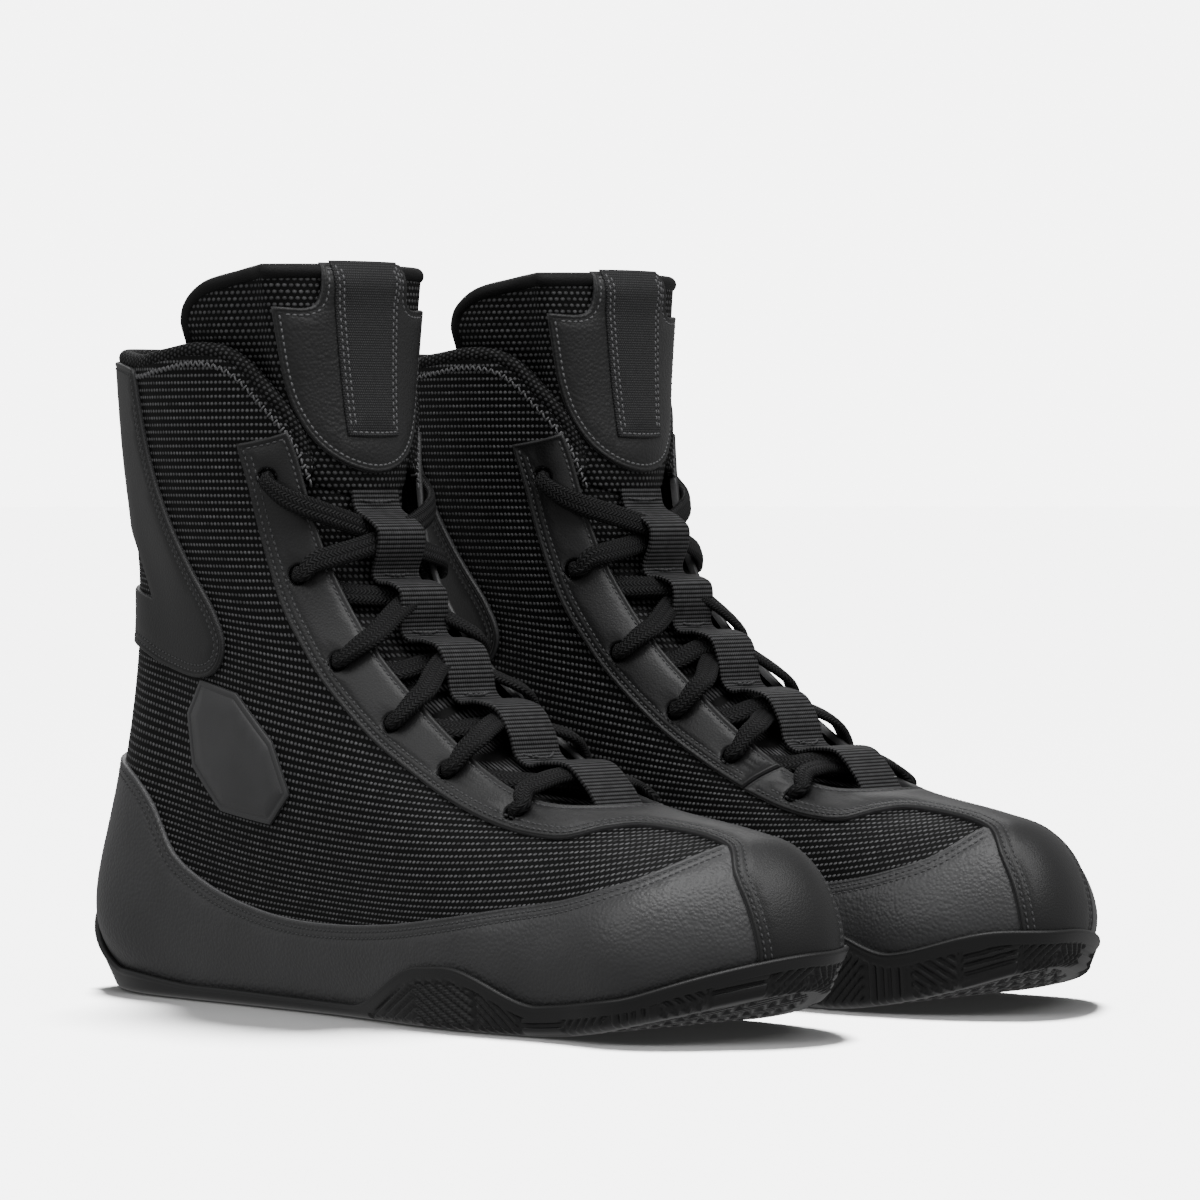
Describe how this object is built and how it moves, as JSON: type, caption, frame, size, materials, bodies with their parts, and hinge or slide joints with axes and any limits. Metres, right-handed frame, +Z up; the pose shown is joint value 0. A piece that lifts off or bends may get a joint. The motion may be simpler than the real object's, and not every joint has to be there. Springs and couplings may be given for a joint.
{
  "type": "boxing boots",
  "caption": "Pair of high lace-up boxing boots with mesh uppers, leather overlays, a tall folding tongue and thin rubber cup soles.",
  "frame": {"origin": "bottom centre of the pair's bounding box, on the floor between the soles", "axes": "+Z up, toes point to -Y, right boot at -X and left boot at +X; the pair mirrors about the YZ plane"},
  "size_m": [0.2222, 0.3009, 0.2323],
  "materials": {
    "outsole_rubber": "matte black rubber with moulded ribs",
    "foam": "black EVA foam sheet",
    "insole_board": "fibre board",
    "insole_cloth": "brushed cloth footbed",
    "stiffener_board": "heat-formed stiffener sheet",
    "lining_cloth": "knitted lining",
    "collar_foam": "soft open foam pad",
    "mesh_fabric": "black fine mesh",
    "tongue_mesh": "black coarse mesh",
    "collar_knit": "knitted folded edge with overlock stitching",
    "grained_leather": "pebbled black leather",
    "smooth_leather": "smooth matte black leather",
    "badge_film": "plain welded film patch",
    "binding_tape": "smooth binding tape",
    "label_strip": "plain woven strip",
    "webbing": "ribbed webbing",
    "braided_lace": "flat braided lace",
    "aglet_plastic": "plain lace tip"
  },
  "bodies": {
    "right_boot": {"right_outsole": "outsole_rubber", "right_midsole": "foam", "right_insole_board": "insole_board", "right_insole": "insole_cloth", "right_heel_counter": "stiffener_board", "right_toe_puff": "stiffener_board", "right_lining": "lining_cloth", "right_collar_foam": "collar_foam", "right_mesh_quarter_lateral": "mesh_fabric", "right_mesh_quarter_medial": "mesh_fabric", "right_rand_lateral": "grained_leather", "right_rand_medial": "grained_leather", "right_toe_strip_and_lateral_eyestay": "smooth_leather", "right_medial_eyestay": "smooth_leather", "right_ankle_wrap": "smooth_leather", "right_badge_lateral": "badge_film", "right_badge_medial": "badge_film", "right_collar_binding": "collar_knit", "right_tongue_lower": "tongue_mesh", "right_lace_keeper": "webbing", "right_lace": "braided_lace", "right_first_aglet": "aglet_plastic", "right_second_aglet": "aglet_plastic"},
    "right_tongue_top": {"right_tongue_upper": "tongue_mesh", "right_tongue_binding": "binding_tape", "right_tongue_shield": "grained_leather", "right_pull_label": "label_strip"},
    "left_boot": {"left_outsole": "outsole_rubber", "left_midsole": "foam", "left_insole_board": "insole_board", "left_insole": "insole_cloth", "left_heel_counter": "stiffener_board", "left_toe_puff": "stiffener_board", "left_lining": "lining_cloth", "left_collar_foam": "collar_foam", "left_mesh_quarter_lateral": "mesh_fabric", "left_mesh_quarter_medial": "mesh_fabric", "left_rand_lateral": "grained_leather", "left_rand_medial": "grained_leather", "left_toe_strip_and_lateral_eyestay": "smooth_leather", "left_medial_eyestay": "smooth_leather", "left_ankle_wrap": "smooth_leather", "left_badge_lateral": "badge_film", "left_badge_medial": "badge_film", "left_collar_binding": "collar_knit", "left_tongue_lower": "tongue_mesh", "left_lace_keeper": "webbing", "left_lace": "braided_lace", "left_first_aglet": "aglet_plastic", "left_second_aglet": "aglet_plastic"},
    "left_tongue_top": {"left_tongue_upper": "tongue_mesh", "left_tongue_binding": "binding_tape", "left_tongue_shield": "grained_leather", "left_pull_label": "label_strip"}
  },
  "joints": [
    {"name": "right_tongue_fold", "type": "hinge", "parent": "right_boot", "child": "right_tongue_top", "pos_m": [-0.0613, 0.0326, 0.162], "axis": [0.9993, -0.0384, 0], "range_deg": [0, 35]},
    {"name": "left_boot_slide", "type": "slide", "parent": "right_boot", "child": "left_boot", "axis": [1, 0, 0], "range_m": [0, 0.3]},
    {"name": "left_tongue_fold", "type": "hinge", "parent": "left_boot", "child": "left_tongue_top", "pos_m": [0.0613, 0.0326, 0.162], "axis": [0.9993, 0.0384, 0], "range_deg": [0, 35]}
  ]
}
